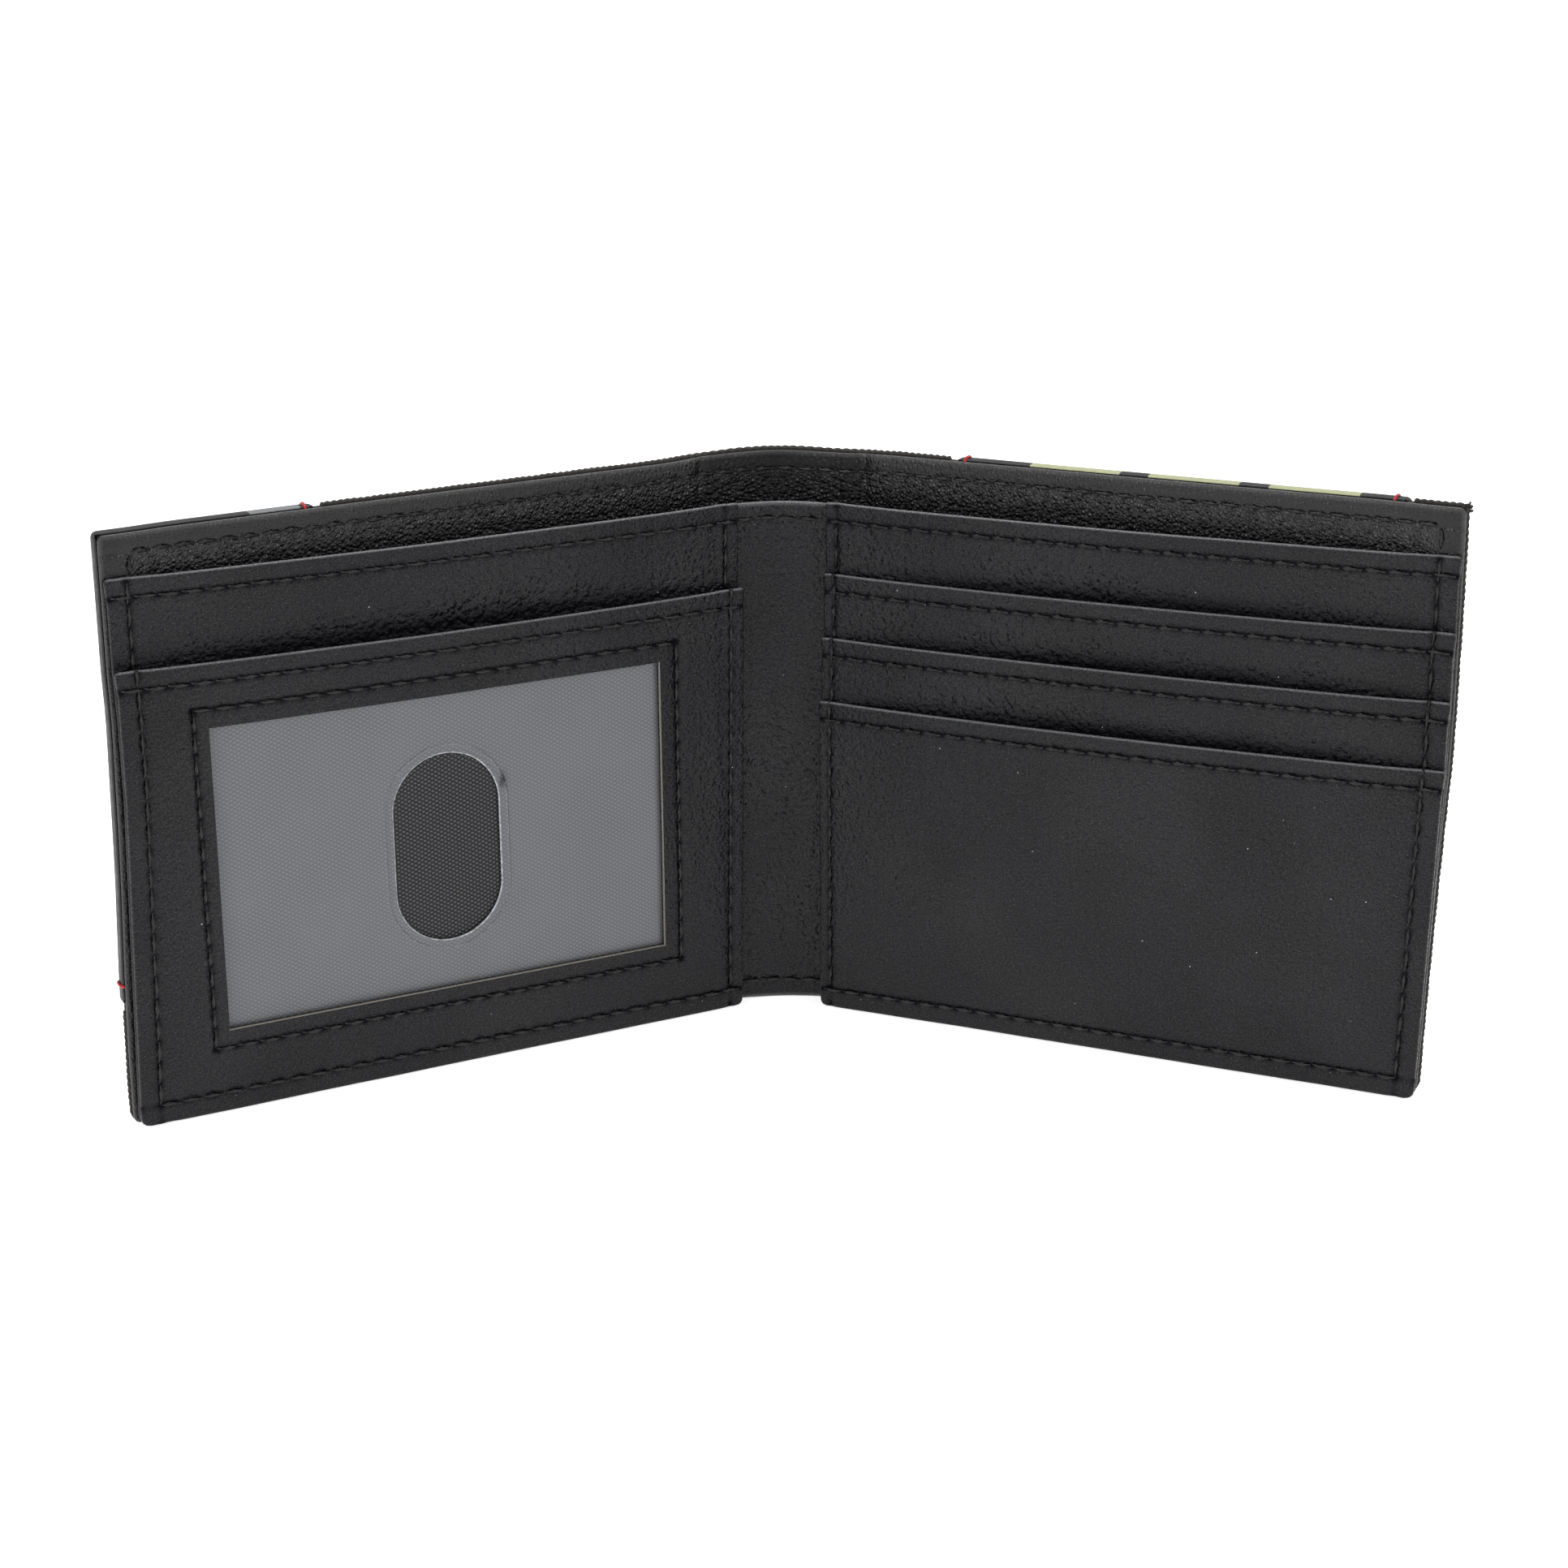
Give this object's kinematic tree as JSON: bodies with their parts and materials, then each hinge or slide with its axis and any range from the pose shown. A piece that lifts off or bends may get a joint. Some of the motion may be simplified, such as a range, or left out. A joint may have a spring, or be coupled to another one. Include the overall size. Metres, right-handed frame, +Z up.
{
  "type": "bifold wallet",
  "caption": "Slim bifold wallet standing open like a book: clear identity window and card slot on one side, card slots on the other, note compartment behind, canvas cover with sewn patches.",
  "frame": {"origin": "centre of the bounding box's base, on the surface that the wallet stands on", "axes": "+X along the open wallet from the identity-window side to the card-slot side, +Y from the pockets to the outside of the cover, +Z up along the creases"},
  "size_m": [0.195, 0.055, 0.0885],
  "materials": {
    "smooth_leather": "satin fine-grained coated leather",
    "pebbled_leather": "semi-gloss pebbled coated leather",
    "black_canvas": "matt woven canvas",
    "black_nylon": "fine woven nylon with a slight sheen",
    "clear_vinyl": "frosted clear sheet",
    "fibre_board": "raw bonded fibre board",
    "charcoal_patch": "matt coated fabric with a faint grey band print",
    "olive_patch": "matt coated fabric with an olive and charcoal band print",
    "black_thread": "twisted thread",
    "red_thread": "twisted thread"
  },
  "bodies": {
    "spine": {"spine_strip": "smooth_leather", "spine_top_seam": "black_thread", "spine_bottom_seam": "black_thread", "spine_lining": "pebbled_leather", "spine_canvas": "black_canvas", "spine_cover_seam": "black_thread"},
    "left_panel": {"left_back_pocket_sheet": "smooth_leather", "left_note_divider": "black_nylon", "id_pocket_liner": "black_nylon", "id_window_vinyl": "clear_vinyl", "id_window_frame": "smooth_leather", "id_window_seam": "black_thread", "left_edge_seam": "black_thread", "left_crease_seam": "black_thread", "left_top_seam": "black_thread", "id_pocket_top_seam": "black_thread", "left_lining": "pebbled_leather", "left_stiffener": "fibre_board", "left_canvas": "black_canvas", "left_cover_seam": "black_thread", "left_patch": "charcoal_patch", "left_patch_seam": "red_thread"},
    "right_panel": {"right_back_pocket_sheet": "smooth_leather", "right_note_divider": "black_nylon", "right_top_seam": "black_thread", "slot_facing_1": "smooth_leather", "slot_liner_1": "black_nylon", "slot_seam_1": "black_thread", "slot_facing_2": "smooth_leather", "slot_liner_2": "black_nylon", "slot_seam_2": "black_thread", "slot_facing_3": "smooth_leather", "slot_seam_3": "black_thread", "right_edge_seam": "black_thread", "right_crease_seam": "black_thread", "right_lining": "pebbled_leather", "right_stiffener": "fibre_board", "right_canvas": "black_canvas", "right_cover_seam": "black_thread", "right_patch": "olive_patch", "right_patch_seam": "red_thread"}
  },
  "joints": [
    {"name": "left_fold", "type": "hinge", "parent": "spine", "child": "left_panel", "pos_m": [-0.00655, 0.01818, 0.044], "axis": [0, 0, 1], "range_deg": [-26, 66]},
    {"name": "right_fold", "type": "hinge", "parent": "spine", "child": "right_panel", "pos_m": [0.00745, 0.01818, 0.044], "axis": [0, 0, -1], "range_deg": [-26, 66]}
  ]
}
